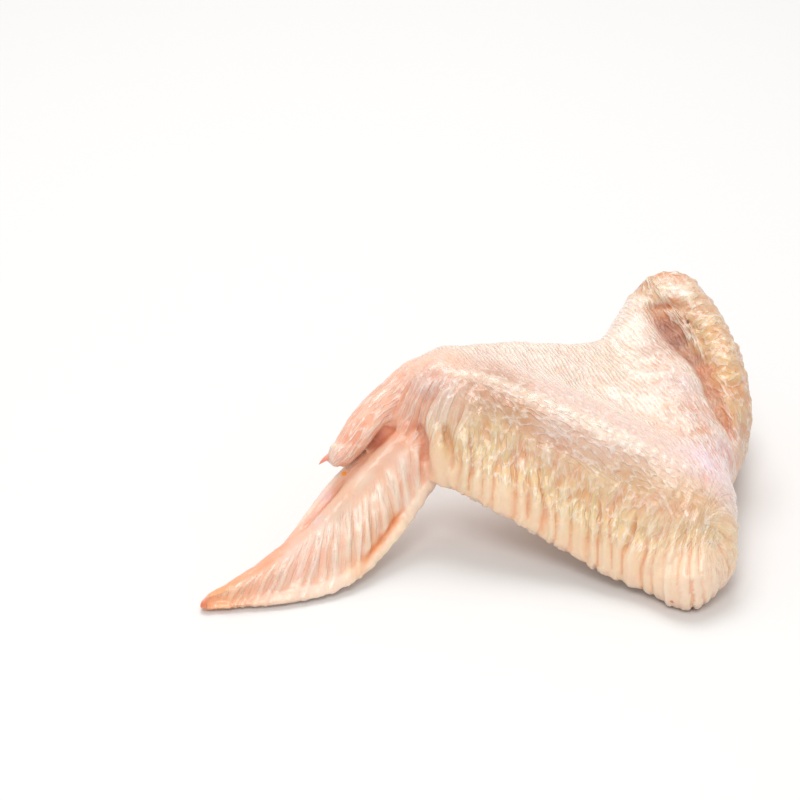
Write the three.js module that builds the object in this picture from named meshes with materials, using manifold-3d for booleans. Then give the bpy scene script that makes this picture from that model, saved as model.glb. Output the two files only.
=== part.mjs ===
// A raw chicken wing, whole: the drumette, the flat, and the pointed tip with its thumb, as it lies down.
// One closed skin is drawn round a field of limbs and sheets of flesh, and the follicle folds are joined on.
// Units are millimetres and +Z is up. The wing's feather side faces -Y, the cut end of the shoulder +Y.
import * as THREE from 'three';
import { mergeVertices } from 'three/addons/utils/BufferGeometryUtils.js';
import Module from 'manifold-3d';

const wasm = await Module();
wasm.setup();

const v = (x, y, z) => new THREE.Vector3(x, y, z);

// A place inside the flesh, with the thickness of flesh and skin round it.
const bead = (x, y, z, r) => ({ at: v(x, y, z), r });

// Driving dimensions: the joints as they lie, and the sizes of the surface and of its folds.
const elbow = bead(69.5, 21.5, 16, 10);
const wrist = bead(10.5, 44.5, 34, 8.6);
const shoulder = bead(75, 84, 17.6, 17.4);
const tipEnd = bead(-47.3, -1.1, 1.8, 2.1);
const cell = 3;          // spacing of the skin's own points
const handCell = 2.45;   // and on the thinner hand and thumb
const pleats = { count: 17, width: 4.4, height: 1.1 };       // along the trailing edge of the flat
const handFolds = { count: 10, width: 2.6, height: 0.75 };   // across the hand
const wristPleat = { width: 4.4, height: 0.9 };
const foldSunk = 0.6;    // the share of a fold's own half height that lies in the flesh
const cutPlane = 98.4;   // the shoulder is cut through here
const cutTilt = 0.15;    // radians that the cut leans back
const knobRadius = 7;    // the cartilage of the joint in the cut
const knobDepth = 4;
const clawRadius = 1.5;
const clawLength = 6.5;
const clawRoot = v(-17.3, 27.8, 25.2);
const clawLine = v(-0.93, -0.3, -0.2);
const room = 400;        // wider than the wing, for the block below it

// ---- The field: each shape gives the distance of a point from its surface ----

// A limb whose thickness changes along a smooth curve.
function limb(beads) {
  const steps = 6 * (beads.length - 1);
  const curve = new THREE.CatmullRomCurve3(beads.map((b) => b.at), false, 'centripetal');
  const centres = curve.getPoints(steps);
  const radiusAt = (t) => {
    const s = t * (beads.length - 1);
    const i = Math.min(Math.floor(s), beads.length - 2);
    const eased = (THREE.MathUtils.smoothstep(s - i, 0, 1) + s - i) / 2;
    return THREE.MathUtils.lerp(beads[i].r, beads[i + 1].r, eased);
  };
  const offset = new THREE.Vector3();
  const along = new THREE.Vector3();
  return (p) => {
    let nearest = Infinity;
    for (let i = 0; i < steps; i++) {
      along.subVectors(centres[i + 1], centres[i]);
      offset.subVectors(p, centres[i]);
      const t = THREE.MathUtils.clamp(offset.dot(along) / along.lengthSq(), 0, 1);
      nearest = Math.min(nearest, offset.addScaledVector(along, -t).length() - radiusAt((i + t) / steps));
    }
    return nearest;
  };
}

// The bead at a fraction t of the way along a row of them.
function beadOn(beads, t) {
  const curve = new THREE.CatmullRomCurve3(beads.map((b) => b.at), false, 'centripetal');
  const s = t * (beads.length - 1);
  const i = Math.min(Math.floor(s), beads.length - 2);
  return { at: curve.getPoint(t), r: THREE.MathUtils.lerp(beads[i].r, beads[i + 1].r, s - i) };
}

// A sheet of flesh and skin between two rows of beads.
function sheet(from, to) {
  const steps = 16;
  const faces = [];
  const a = [];
  const b = [];
  for (let i = 0; i <= steps; i++) {
    a.push(beadOn(from, i / steps));
    b.push(beadOn(to, i / steps));
  }
  for (let i = 0; i < steps; i++) {
    faces.push([a[i], b[i], a[i + 1]]);
    faces.push([b[i], b[i + 1], a[i + 1]]);
  }
  const triangles = faces.map((corners) => new THREE.Triangle(...corners.map((c) => c.at)));
  const near = new THREE.Vector3();
  const weight = new THREE.Vector3();
  return (p) => {
    let nearest = Infinity;
    triangles.forEach((triangle, i) => {
      triangle.closestPointToPoint(p, near);
      if (!triangle.getBarycoord(near, weight)) return;
      const [r0, r1, r2] = faces[i].map((c) => c.r);
      nearest = Math.min(nearest, near.distanceTo(p) - weight.x * r0 - weight.y * r1 - weight.z * r2);
    });
    return nearest;
  };
}

// The union of two distances with a fillet of about the given size.
function blend(a, b, fillet) {
  const h = Math.max(fillet - Math.abs(a - b), 0) / fillet;
  return Math.min(a, b) - h * h * fillet * 0.25;
}

// A distance with a crease pressed into it, where the two meet.
const press = (d, crease, fillet) => -blend(-d, crease, fillet);

// The drumette: the meat round its bone, and the soft side that it lies on.
const drumette = limb([elbow, bead(73, 42, 17.5, 13.8), bead(74.5, 61, 18, 16.2), shoulder]);
const lowerSide = limb([bead(77, 46, 11.5, 8.5), bead(80.5, 61, 9.1, 9.5), bead(78.5, 80, 11.5, 12)]);
// The fold of fat along its back, and the lobe of skin at its front.
const backFold = limb([
  bead(73.5, 95, 36.4, 8.4), bead(79.2, 81, 32, 8.8), bead(82.2, 68.5, 28, 9), bead(84.4, 59, 21.5, 8.2),
  bead(84, 54, 14, 7),
]);
const frontLobe = limb([bead(65.5, 79.5, 27.5, 7.8), bead(70, 90, 32.5, 9)]);

// The flat: thick along its bones and thin at the trailing edge that the flight feathers grew from.
const flatBones = [wrist, bead(28, 40, 30.2, 9.6), bead(49.5, 30.6, 25.2, 10), elbow];
const flatEdge = [
  bead(11.5, 26.2, 21, 2.4), bead(26, 20.8, 15.6, 2.5), bead(42, 14.5, 9, 2.6), bead(56, 7.6, 5.2, 3.2),
  bead(69, 3.6, 6, 5.5),
];
const flat = sheet(flatBones, flatEdge);
const elbowCorner = limb([bead(71, 19, 15.5, 9.2), bead(74.5, 9.5, 9.3, 8.6), bead(70.5, 2.2, 5.9, 6)]);

// The web of skin across the bend, whose free edge runs from the wrist to the shoulder.
const webEdge = [
  bead(12, 51, 39.3, 4.6), bead(26, 56.8, 39, 3.6), bead(42, 63.7, 35, 3.4), bead(54, 70.7, 32, 3.7),
  bead(65, 82, 31, 7),
];
const webFoot = [
  wrist, bead(28, 41.4, 31.5, 6.3), bead(49.5, 32.4, 26, 6.3), bead(66.6, 24.3, 20.7, 7.2), elbow,
];
const web = sheet(webEdge, webFoot);

// The hand: a leaf, thick along its leading finger and thin at its trailing edge.
const finger = [
  wrist, bead(-4.5, 31.5, 20.5, 5.8), bead(-13, 24.2, 15.6, 5.2), bead(-21.5, 15.6, 10.2, 4.1),
  bead(-35, 5.5, 5.1, 3.1), tipEnd,
];
const handEdge = [
  bead(7, 29.5, 17.2, 2.3), bead(-3.5, 17, 7.6, 2.1), bead(-14.5, 6.2, 3, 2), bead(-29, 1, 2.2, 2),
  bead(-40, -0.8, 2, 2), tipEnd,
];
const hand = sheet(finger, handEdge);
const handRoot = limb(finger.slice(0, 2));
const wristFold = limb([bead(8, 36, 29.5, 5), bead(8.6, 31.5, 24.5, 4), bead(9.6, 28, 19.6, 2.8)]);

// The thumb lies over the leading edge of the hand.
const thumbRow = [
  bead(4, 47, 35, 6.4), bead(-2.5, 41.2, 33.4, 5.3), bead(-8.5, 35.2, 30.8, 4.7),
  bead(-14.4, 28.4, 26.2, 3.5),
];
const thumb = limb(thumbRow);
const thumbRoot = limb(thumbRow.slice(0, 2));

// Creases: between the arm and its back fold, across the web, and round the wrist.
const creases = [
  limb([
    bead(66.5, 83.2, 43.5, 3.6), bead(72.6, 73.5, 41.4, 6.4), bead(77.6, 65.5, 39.4, 6.4),
    bead(83.1, 48.9, 31.9, 4.4), bead(88.7, 38, 20.2, 3),
  ]),
  limb([bead(48.7, 48.3, 42.4, 8), bead(62.8, 36.9, 39.4, 8), bead(72.5, 30.1, 38.6, 7.5)]),
  limb([bead(3.1, 32.3, 33.8, 1.8), bead(5.4, 29.7, 30.7, 2.2), bead(6, 26.2, 22.8, 2)]),
  limb([bead(11.5, 30.2, 32.7, 2), bead(12.4, 25.5, 26.3, 2.2), bead(11.9, 22.8, 21.5, 2)]),
];

// The upright folds that the skin gathers in round the wrist, each from its low to its high end.
const wristFolds = [
  [v(9, 25, 21), v(7.6, 32.5, 33.5)],
  [v(4, 27.6, 22), v(1, 33.6, 30.5)],
  [v(15.5, 24, 20.5), v(15, 31.5, 32.5)],
];

function arm(p) {
  let d = blend(drumette(p), lowerSide(p), 8);
  d = blend(d, backFold(p), 3.5);
  d = blend(d, frontLobe(p), 4);
  d = blend(d, flat(p), 7);
  d = blend(d, elbowCorner(p), 7);
  d = blend(d, web(p), 9);
  d = blend(d, handRoot(p), 4.5);
  d = blend(d, wristFold(p), 2.5);
  d = blend(d, thumbRoot(p), 4);
  return creases.reduce((pressed, crease) => press(pressed, crease(p), 2.5), d);
}

const skin = (p) => Math.min(arm(p), hand(p), thumb(p));

function slopeOf(field, p) {
  const e = cell * 0.05;
  return v(
    field(v(p.x + e, p.y, p.z)) - field(v(p.x - e, p.y, p.z)),
    field(v(p.x, p.y + e, p.z)) - field(v(p.x, p.y - e, p.z)),
    field(v(p.x, p.y, p.z + e)) - field(v(p.x, p.y, p.z - e)),
  ).divideScalar(2 * e);
}

// One step of a point towards the surface of a field.
function drawOnto(field, p) {
  const slope = slopeOf(field, p);
  const shift = THREE.MathUtils.clamp(field(p) / Math.max(slope.lengthSq(), 0.25), -cell / 2, cell / 2);
  return p.addScaledVector(slope, -shift);
}

// ---- The surface: one point in each cell that the skin crosses ----

function surfaceOf(field, low, high, step) {
  const [nx, ny, nz] = ['x', 'y', 'z'].map((k) => Math.ceil((high[k] - low[k]) / step) + 1);
  const index = (i, j, k) => i + nx * (j + ny * k);
  const value = new Float64Array(nx * ny * nz);
  const p = new THREE.Vector3();
  for (let k = 0; k < nz; k++)
    for (let j = 0; j < ny; j++)
      for (let i = 0; i < nx; i++) {
        p.set(i, j, k).multiplyScalar(step).add(low);
        value[index(i, j, k)] = field(p);
      }

  // A cell's point starts at the mean of the places where the skin crosses its edges.
  const pointOf = new Int32Array(nx * ny * nz).fill(-1);
  const points = [];
  const corners = [0, 1, 2, 3, 4, 5, 6, 7].map((c) => [c & 1, (c >> 1) & 1, c >> 2]);
  const edges = [
    [0, 1], [2, 3], [4, 5], [6, 7], [0, 2], [1, 3], [4, 6], [5, 7], [0, 4], [1, 5], [2, 6], [3, 7],
  ];
  for (let k = 0; k < nz - 1; k++)
    for (let j = 0; j < ny - 1; j++)
      for (let i = 0; i < nx - 1; i++) {
        const at = corners.map(([a, b, c]) => value[index(i + a, j + b, k + c)]);
        const crossed = edges.filter(([a, b]) => at[a] < 0 !== at[b] < 0);
        if (crossed.length === 0) continue;
        const sum = new THREE.Vector3();
        for (const [a, b] of crossed)
          sum.add(v(...corners[a]).lerp(v(...corners[b]), at[a] / (at[a] - at[b])));
        pointOf[index(i, j, k)] = points.length;
        points.push(sum.divideScalar(crossed.length).add(v(i, j, k)).multiplyScalar(step).add(low));
      }

  // A grid edge that crosses the skin gives a quad between the four cells round it.
  const quads = [];
  const cellsRound = [
    [[1, 0, 0], [[0, 0, 0], [0, -1, 0], [0, -1, -1], [0, 0, -1]]],
    [[0, 1, 0], [[0, 0, 0], [0, 0, -1], [-1, 0, -1], [-1, 0, 0]]],
    [[0, 0, 1], [[0, 0, 0], [-1, 0, 0], [-1, -1, 0], [0, -1, 0]]],
  ];
  for (let k = 1; k < nz - 1; k++)
    for (let j = 1; j < ny - 1; j++)
      for (let i = 1; i < nx - 1; i++) {
        const inside = value[index(i, j, k)] < 0;
        for (const [[a, b, c], round] of cellsRound) {
          if (inside === value[index(i + a, j + b, k + c)] < 0) continue;
          const quad = round.map(([x, y, z]) => pointOf[index(i + x, j + y, k + z)]);
          quads.push(inside ? quad : quad.reverse());
        }
      }

  // The points are evened out and drawn back onto the skin, a few times.
  const neighbours = points.map(() => new Set());
  for (const q of quads)
    q.forEach((n, i) => {
      neighbours[n].add(q[(i + 1) % 4]);
      neighbours[n].add(q[(i + 3) % 4]);
    });
  for (let pass = 0; pass < 3; pass++) {
    const moved = points.map((q, n) => {
      const mean = new THREE.Vector3();
      neighbours[n].forEach((m) => mean.add(points[m]));
      return q.clone().lerp(mean.divideScalar(neighbours[n].size), 0.5);
    });
    moved.forEach((q, n) => points[n].copy(drawOnto(field, q)));
  }

  // Each quad is split along its shorter diagonal.
  const triangles = [];
  for (const [a, b, c, d] of quads)
    if (points[a].distanceTo(points[c]) < points[b].distanceTo(points[d])) triangles.push(a, b, c, a, c, d);
    else triangles.push(a, b, d, b, c, d);
  return new THREE.BufferGeometry().setFromPoints(points).setIndex(triangles);
}

// ---- Solids: the folds, the claw and the joint are joined on, and the flat places are cut ----

function solidOf(geometry) {
  geometry.deleteAttribute('normal');
  geometry.deleteAttribute('uv');
  const closed = mergeVertices(geometry);
  return new wasm.Manifold(new wasm.Mesh({
    numProp: 3,
    vertProperties: new Float32Array(closed.attributes.position.array),
    triVerts: new Uint32Array(closed.index.array),
  }));
}

function geometryOf(solid) {
  const mesh = solid.getMesh();
  return new THREE.BufferGeometry()
    .setAttribute('position', new THREE.BufferAttribute(mesh.vertProperties, 3))
    .setIndex(new THREE.BufferAttribute(mesh.triVerts, 1));
}

// A rounded fold of skin between two places, standing out of the flesh that it is sunk in.
function foldBetween(from, to, { width, height }) {
  const shown = Math.sqrt(1 - foldSunk * foldSunk);
  const middle = from.clone().lerp(to, 0.5);
  for (let pass = 0; pass < 6; pass++) drawOnto(skin, middle);
  const along = to.clone().sub(from);
  const across = new THREE.Vector3().crossVectors(along, slopeOf(skin, middle)).setLength(width / 2 / shown);
  const out = new THREE.Vector3().crossVectors(across, along).setLength(height / (1 - foldSunk));
  middle.addScaledVector(out, -foldSunk);
  const turn = new THREE.Matrix4().makeBasis(along.multiplyScalar(0.5 / shown), out, across);
  turn.setPosition(middle);
  return solidOf(new THREE.SphereGeometry(1, 9, 7).applyMatrix4(turn));
}

// A place on the outer side of a sheet, a share of the way from its edge row to its bone row.
function onSheet(edgeRow, boneRow, t, share) {
  const edge = beadOn(edgeRow, t);
  const bone = beadOn(boneRow, t);
  const outward = v(0, -0.5, 0.8).multiplyScalar(THREE.MathUtils.lerp(edge.r, bone.r, share));
  return edge.at.lerp(bone.at, share).add(outward);
}

// An even spread of numbers from -1 to 1 without a visible pattern.
const wavy = (i) => (Math.sin(2.4 * i) + Math.sin(1.1 * i + 2)) / 2;

// The arm, the hand and the thumb are drawn apart, so that the grooves between them stay sharp.
let wing = solidOf(surfaceOf(arm, v(-21.1, -14.6, -10.1), v(104, 116, 54), cell));
wing = wing.add(solidOf(surfaceOf(hand, v(-58.3, -12.4, -8.7), v(26, 62, 52), handCell)));
wing = wing.add(solidOf(surfaceOf(thumb, v(-24, 16, 14), v(18, 62, 50), handCell)));

// The pleats hang from about the middle of the flat down to its edge, a little uneven in reach and height.
for (let i = 0; i < pleats.count; i++) {
  const t = (i + 0.6) / pleats.count;
  const reach = 0.46 - 0.12 * t + 0.1 * wavy(i);
  const edge = beadOn(flatEdge, t);
  const low = edge.at.addScaledVector(v(0, -0.6, -0.2), edge.r);
  const high = onSheet(flatEdge, flatBones, t, reach).add(v(0, 0.9, -0.9));
  const height = pleats.height * (1 + 0.3 * wavy(i + 5));
  wing = wing.add(foldBetween(low, high, { width: pleats.width, height }));
}

// The folds of the hand fan out from its finger to its trailing edge, and lean towards the wrist.
for (let i = 0; i < handFolds.count; i++) {
  const t = (i + 1.4) / (handFolds.count + 2);
  const lean = 0.05 * (1 - t);
  const low = onSheet(handEdge, finger, t, 0.04);
  const high = onSheet(handEdge, finger, t + lean, 0.72);
  wing = wing.add(foldBetween(low, high, handFolds));
}

for (const [low, high] of wristFolds) wing = wing.add(foldBetween(low, high, wristPleat));

// The claw at the end of the thumb.
const clawTurn = new THREE.Quaternion().setFromUnitVectors(v(0, 1, 0), clawLine.normalize());
const claw = new THREE.ConeGeometry(clawRadius, clawLength, 8).applyQuaternion(clawTurn);
wing = wing.add(solidOf(claw.translate(...clawRoot)));

// The cut through the shoulder, with the end of the joint standing out of the meat a little.
const beyondCut = new THREE.BoxGeometry(room, room, room).translate(0, room / 2, 0).rotateX(cutTilt);
wing = wing.subtract(solidOf(beyondCut.translate(0, cutPlane, shoulder.at.z)));
const knob = new THREE.SphereGeometry(1, 14, 9).scale(knobRadius, knobDepth, knobRadius);
wing = wing.add(solidOf(knob.translate(shoulder.at.x - 1, cutPlane - knobDepth / 2, shoulder.at.z)));

// Its own weight presses it flat where it lies on the table.
const table = new THREE.BoxGeometry(room, room, room).translate(0, 0, -room / 2);
wing = wing.subtract(solidOf(table));

const skinMaterial = new THREE.MeshStandardMaterial({ color: 0xe9c9ab, roughness: 0.4, metalness: 0 });
const mesh = new THREE.Mesh(geometryOf(wing), skinMaterial);
mesh.name = 'wing';

// The origin is below the middle of the wing, on the table.
mesh.geometry.computeBoundingBox();
const middle = mesh.geometry.boundingBox.getCenter(new THREE.Vector3());
mesh.position.set(-middle.x, -middle.y, 0);
const group = new THREE.Group();
group.add(mesh);
export default group;
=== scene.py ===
# A whole raw chicken wing on a pale table: moist skin with its flutes, folds and feather bumps
import math

import bmesh
import bpy
import numpy as np
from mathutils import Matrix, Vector
from mathutils.kdtree import KDTree


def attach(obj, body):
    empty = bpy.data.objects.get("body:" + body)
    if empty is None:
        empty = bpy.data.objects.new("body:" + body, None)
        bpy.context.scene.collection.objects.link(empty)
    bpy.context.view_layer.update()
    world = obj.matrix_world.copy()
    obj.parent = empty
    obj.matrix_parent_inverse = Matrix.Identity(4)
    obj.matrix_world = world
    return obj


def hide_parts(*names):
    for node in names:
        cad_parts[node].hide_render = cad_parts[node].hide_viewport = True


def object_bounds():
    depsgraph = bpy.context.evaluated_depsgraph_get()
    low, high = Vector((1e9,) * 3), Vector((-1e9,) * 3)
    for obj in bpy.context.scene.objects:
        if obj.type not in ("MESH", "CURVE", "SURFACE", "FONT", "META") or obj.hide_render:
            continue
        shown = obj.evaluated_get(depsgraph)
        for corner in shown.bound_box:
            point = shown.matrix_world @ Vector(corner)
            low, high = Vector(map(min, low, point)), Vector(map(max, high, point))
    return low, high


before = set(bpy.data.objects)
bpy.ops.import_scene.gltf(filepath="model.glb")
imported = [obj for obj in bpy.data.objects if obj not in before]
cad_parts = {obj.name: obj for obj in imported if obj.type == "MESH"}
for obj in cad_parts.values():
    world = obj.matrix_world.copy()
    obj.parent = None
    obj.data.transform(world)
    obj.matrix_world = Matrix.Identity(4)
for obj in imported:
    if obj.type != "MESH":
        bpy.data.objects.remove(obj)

cadLow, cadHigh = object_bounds()
mm = 0.001
print("frame loaded")


# places along the wing, in millimetres: x, y, z and the thickness of flesh round them

origin = np.array([-21.94, -47.87, 0, 0])       # puts the solid's middle in the middle of the frame


def row(*beads):
    return np.array(beads, float) + origin


wing = {
    "elbow": (69.5, 21.5, 16, 10),
    "wrist": (10.5, 44.5, 34, 8.6),
    "shoulder": (75, 84, 17.6, 17.4),
    "tipEnd": (-47.3, -1.1, 1.8, 2.1),
}
bones = row(wing["wrist"], (28, 40, 30.2, 9.6), (49.5, 30.6, 25.2, 10), wing["elbow"], (80, 18, 15, 7))
flatEdge = row((11.5, 26.2, 21, 2.4), (26, 20.8, 15.6, 2.5), (42, 14.5, 9, 2.6), (56, 7.6, 5.2, 3.2),
               (69, 3.6, 6, 5.5), (80, 6, 8, 5))
corner = row((71, 19, 15.5, 9.2), (74.5, 9.5, 9.3, 8.6), (70.5, 2.2, 5.9, 6))
webEdge = row((12, 51, 39.3, 4.6), (26, 56.8, 39, 3.6), (42, 63.7, 35, 3.4), (54, 70.7, 32, 3.7),
              (65, 82, 31, 7))
webFoot = row(wing["wrist"], (28, 41.4, 31.5, 6.3), (49.5, 32.4, 26, 6.3), (66.6, 24.3, 20.7, 7.2),
              wing["elbow"])
finger = row(wing["wrist"], (-4.5, 31.5, 20.5, 5.8), (-13, 24.2, 15.6, 5.2), (-21.5, 15.6, 10.2, 4.1),
             (-35, 5.5, 5.1, 3.1), wing["tipEnd"])
handEdge = row((7, 29.5, 17.2, 2.3), (-3.5, 17, 7.6, 2.1), (-14.5, 6.2, 3, 2), (-29, 1, 2.2, 2),
               (-40, -0.8, 2, 2), wing["tipEnd"])
thumb = row((4, 47, 35, 6.4), (-2.5, 41.2, 33.4, 5.3), (-8.5, 35.2, 30.8, 4.7), (-14.4, 28.4, 26.2, 3.5))
drumette = row(wing["elbow"], (73, 42, 17.5, 13.8), (74.5, 61, 18, 16.2), wing["shoulder"])
backFold = row((73.5, 95, 36.4, 8.4), (79.2, 81, 32, 8.8), (82.2, 68.5, 28, 9), (84.4, 59, 21.5, 8.2),
               (84, 54, 14, 7))
faceUp = np.array([0.0, -0.53, 0.848])          # the way the wing's outer side faces
outerSide = np.array([0.05, -0.53, 0.848])      # the same, as the look-up weighs it
slide = 0.75            # how far a foot may slide past its sample, in steps


def smooth(a, b, x):  # 0 at a, 1 at b, with soft ends
    t = np.clip((x - a) / (b - a), 0, 1)
    return t * t * (3 - 2 * t)


def onRow(beads, t):  # smooth curve through the beads
    s = np.clip(t, 0, 1) * (len(beads) - 1)
    i = np.minimum(s.astype(int), len(beads) - 2)
    f = (s - i)[:, None]
    p = np.vstack([2 * beads[0] - beads[1], beads, 2 * beads[-1] - beads[-2]])
    a, b, c, d = p[i], p[i + 1], p[i + 2], p[i + 3]
    return 0.5 * (2 * b + (c - a) * f + (2 * a - 5 * b + 4 * c - d) * f**2 + (3 * b - a - 3 * c + d) * f**3)


def nearestOf(points, samples):
    tree = KDTree(len(samples))
    for i, p in enumerate(samples):
        tree.insert(p, i)
    tree.balance()
    return np.array([tree.find(p)[1] for p in points])


def onSheet(points, edge, bone):  # share of the way along, share across, distance from the surface
    steps, ribs = 90, 24
    u, w = np.linspace(0, 1, steps), np.linspace(0, 1, ribs)
    grid = onRow(edge, u)[:, None] * (1 - w)[None, :, None] + onRow(bone, u)[:, None] * w[None, :, None]
    nearest = nearestOf(points, grid.reshape(-1, 4)[:, :3])
    i, j = nearest // ribs, nearest % ribs
    du, dw = np.gradient(grid, axis=0)[i, j], np.gradient(grid, axis=1)[i, j]
    d = points - grid[i, j, :3]
    aa, ab, bb = (du[:, :3] ** 2).sum(1), (du[:, :3] * dw[:, :3]).sum(1), (dw[:, :3] ** 2).sum(1)
    da, db = (d * du[:, :3]).sum(1), (d * dw[:, :3]).sum(1)
    det = np.maximum(aa * bb - ab * ab, 1e-9)
    x = np.clip((bb * da - ab * db) / det, -slide, slide)
    y = np.clip((aa * db - ab * da) / det, -slide, slide)
    x = np.clip(x, -i, steps - 1 - i)
    y = np.clip(y, -j, ribs - 1 - j)
    foot = grid[i, j] + du * x[:, None] + dw * y[:, None]
    away = np.linalg.norm(points - foot[:, :3], axis=1) - foot[:, 3]
    return (i + x) / (steps - 1), (j + y) / (ribs - 1), away


def thinned(points):  # the hand's skin thins out from above towards its free edge
    t, s, away = onSheet(points, handEdge, finger)
    edge, bone = onRow(handEdge, t)[:, :3], onRow(finger, t)[:, :3]
    run = (onRow(handEdge, t + 0.01) - onRow(handEdge, t - 0.01))[:, :3]
    up = np.cross(run, bone - edge)
    up /= np.linalg.norm(up, axis=1)[:, None]
    up *= np.sign(up[:, 2])[:, None]
    above = ((points - edge) * up).sum(1)
    # least at the finger, off the sheet and at both ends
    share = smooth(0.5, 0.0, s) * smooth(1.2, 0.2, away) * smooth(0.02, 0.12, t) * smooth(1.0, 0.93, t)
    return points - up * (np.maximum(above, 0) * share * base["thin"])[:, None]


def onLimb(points, beads):  # share of the way along, distance from the surface
    steps = 120
    line = onRow(beads, np.linspace(0, 1, steps))
    i = nearestOf(points, line[:, :3])
    d = np.gradient(line, axis=0)[i]
    x = ((points - line[i, :3]) * d[:, :3]).sum(1) / np.maximum((d[:, :3] ** 2).sum(1), 1e-9)
    x = np.clip(np.clip(x, -slide, slide), -i, steps - 1 - i)
    foot = line[i] + d * x[:, None]
    return (i + x) / (steps - 1), np.linalg.norm(points - foot[:, :3], axis=1) - foot[:, 3]


def roundLimb(points, beads):  # mm along the limb, and mm round it from the side that faces up
    line = onRow(beads, np.linspace(0, 1, 120))
    i = nearestOf(points, line[:, :3])
    d = np.gradient(line[:, :3], axis=0)[i]
    d /= np.linalg.norm(d, axis=1)[:, None]
    along = np.concatenate([[0], np.cumsum(np.linalg.norm(np.diff(line[:, :3], axis=0), axis=1))])[i]
    out = points - line[i, :3]
    along = along + (out * d).sum(1)
    up = faceUp - d * (d @ faceUp)[:, None]
    up /= np.linalg.norm(up, axis=1)[:, None]
    side = np.cross(d, up)
    angle = np.arctan2((out * side).sum(1), (out * up).sum(1))
    return np.stack([along, angle * line[i, 3], 0 * along], 1)


# node trees

def pick(sockets, key):
    return sockets[key] if isinstance(key, int) else next(s for s in sockets if s.name == key)


class Wire:
    # one socket of a node tree, with the usual arithmetic
    def __init__(self, tree, socket):
        self.tree = tree
        self.socket = socket

    def math(self, operation, *values, **settings):
        return self.tree.node("ShaderNodeMath", {"operation": operation, **settings}, dict(enumerate(values)))

    def __add__(self, other):
        return self.math("ADD", self, other)

    __radd__ = __add__

    def __sub__(self, other):
        return self.math("SUBTRACT", self, other)

    def __rsub__(self, other):
        return self.math("SUBTRACT", other, self)

    def __mul__(self, other):
        return self.math("MULTIPLY", self, other)

    __rmul__ = __mul__

    def __truediv__(self, other):
        return self.math("DIVIDE", self, other)

    def __rtruediv__(self, other):
        return self.math("DIVIDE", other, self)

    def __pow__(self, other):
        return self.math("POWER", self, other)

    def absolute(self):
        return self.math("ABSOLUTE", self)

    def largest(self, other):
        return self.math("MAXIMUM", self, other)

    def cosine(self):
        return self.math("COSINE", self)

    def sine(self):
        return self.math("SINE", self)

    def angle(self, other):
        return self.math("ARCTAN2", self, other)

    def clamped(self):
        return self.math("ADD", self, 0.0, use_clamp=True)

    def ramp(self, low, high, start=0.0, end=1.0):  # smooth step
        ends = {"Value": self, "From Min": low, "From Max": high, "To Min": start, "To Max": end}
        return self.tree.node("ShaderNodeMapRange", {"interpolation_type": "SMOOTHSTEP"}, ends)


class Tree:
    def __init__(self, nodeTree):
        self.nodeTree = nodeTree

    def node(self, kind, settings=None, sockets=None, out=0):
        made = self.nodeTree.nodes.new(kind)
        for key, value in (settings or {}).items():
            setattr(made, key, value)
        shown = [s for s in made.inputs if s.enabled]
        for key, value in (sockets or {}).items():
            if isinstance(value, Wire):
                self.nodeTree.links.new(value.socket, pick(shown, key))
            else:
                pick(shown, key).default_value = value
        given = [s for s in made.outputs if s.enabled]
        if not given:
            return made
        return Wire(self, pick(given, out))

    def attribute(self, name, vector=False):
        if self.nodeTree.type == "SHADER":
            out = "Vector" if vector else "Fac"
            return self.node("ShaderNodeAttribute", {"attribute_name": name}, out=out)
        kind = "FLOAT_VECTOR" if vector else "FLOAT"
        return self.node("GeometryNodeInputNamedAttribute", {"data_type": kind}, {"Name": name})

    def parts(self, vector):
        split = self.nodeTree.nodes.new("ShaderNodeSeparateXYZ")
        self.nodeTree.links.new(vector.socket, split.inputs[0])
        return [Wire(self, s) for s in split.outputs]

    def vector(self, x, y, z=0.0):
        return self.node("ShaderNodeCombineXYZ", None, {"X": x, "Y": y, "Z": z})

    def scaled(self, vector, factor):
        return self.node("ShaderNodeVectorMath", {"operation": "SCALE"}, {"Vector": vector, "Scale": factor})

    def noise(self, place, scale=1.0, detail=2.0, roughness=0.5):
        sockets = {"Vector": place, "Scale": scale, "Detail": detail, "Roughness": roughness}
        return self.node("ShaderNodeTexNoise", None, sockets)

    def beads(self, place, scale, spread=0.9):  # distance to the nearest of scattered places
        sockets = {"Vector": place, "Scale": scale, "Smoothness": 0.25, "Randomness": spread}
        return self.node("ShaderNodeTexVoronoi", {"feature": "SMOOTH_F1"}, sockets)

    def near(self, place, spot, far, close):  # 1 at the spot, 0 beyond the far reach
        gap = self.node("ShaderNodeVectorMath", {"operation": "DISTANCE"}, {0: place, 1: spot}, out="Value")
        return gap.ramp(far, close)

    def mix(self, share, a, b, blend="MIX"):
        settings = {"data_type": "RGBA", "blend_type": blend}
        return self.node("ShaderNodeMix", settings, {"Factor": share, "A": a, "B": b})

    def surface(self, sockets):
        shader = self.node("ShaderNodeBsdfPrincipled", None, sockets)
        self.node("ShaderNodeOutputMaterial", None, {"Surface": shader})


def blank(name):  # a material with an empty tree
    material = bpy.data.materials.new(name)
    material.use_nodes = True
    material.node_tree.nodes.clear()
    return material, Tree(material.node_tree)


def linear(r, g, b):  # a screen colour as light
    shares = (r / 255, g / 255, b / 255)
    return tuple(c / 12.92 if c <= 0.04045 else ((c + 0.055) / 1.055) ** 2.4 for c in shares)


def solid(r, g, b):
    return (*linear(r, g, b), 1)


def add(name, mesh):
    piece = bpy.data.objects.new(name, mesh)
    bpy.context.scene.collection.objects.link(piece)
    return piece


def plain(piece):  # the modifiers' result becomes the mesh
    graph = bpy.context.evaluated_depsgraph_get()
    shown = piece.evaluated_get(graph)
    made = bpy.data.meshes.new_from_object(shown, preserve_all_data_layers=True, depsgraph=graph)
    piece.modifiers.clear()
    piece.data = made


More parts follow.
